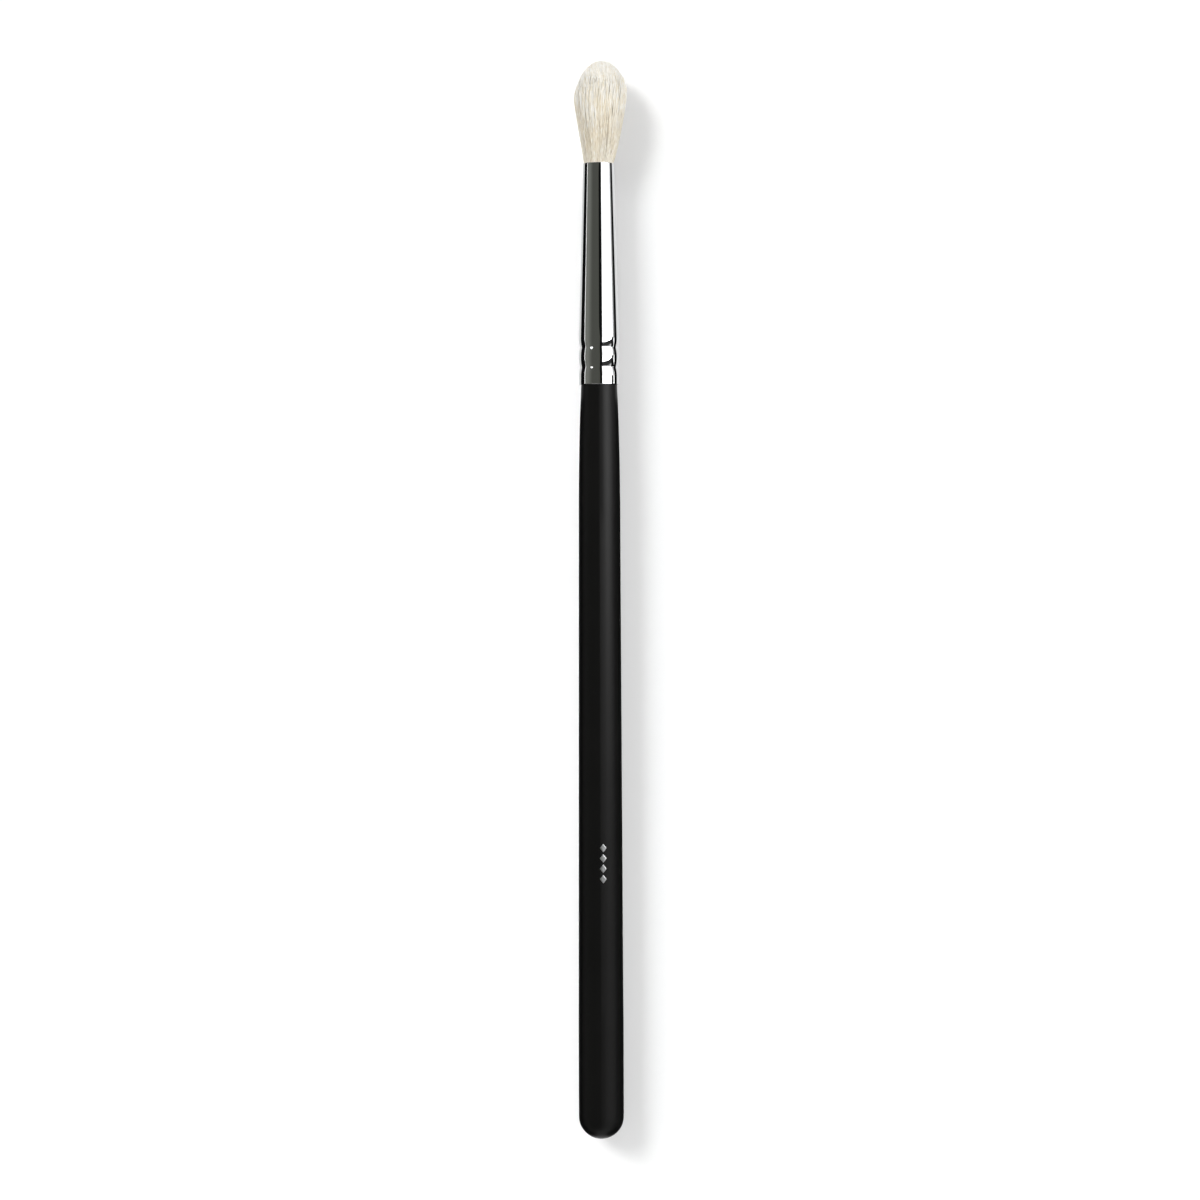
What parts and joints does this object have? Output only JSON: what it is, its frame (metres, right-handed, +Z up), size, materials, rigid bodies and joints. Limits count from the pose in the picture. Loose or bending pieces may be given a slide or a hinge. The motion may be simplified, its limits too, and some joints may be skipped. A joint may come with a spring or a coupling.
{
  "type": "eyeshadow brush",
  "caption": "Slim eyeshadow blending brush with a domed cream hair tuft, a tapered crimped bright metal ferrule and a straight black satin wooden handle with a round butt.",
  "frame": {"origin": "on the table under the middle of the lying brush", "axes": "+X along the brush towards the tuft, +Z up from the table"},
  "size_m": [0.1802, 0.0088, 0.0089],
  "materials": {
    "lacquered_wood": "satin",
    "plated_metal": "polished",
    "white_glue": "matte",
    "hair": "matte",
    "hard_glue": "gloss",
    "thread": "matte"
  },
  "bodies": {
    "root": {"handle": "lacquered_wood", "ferrule": "plated_metal", "tenon_glue": "white_glue", "bristle_tuft": "hair", "root_glue_plug": "hard_glue", "root_tie_thread": "thread"}
  },
  "joints": []
}
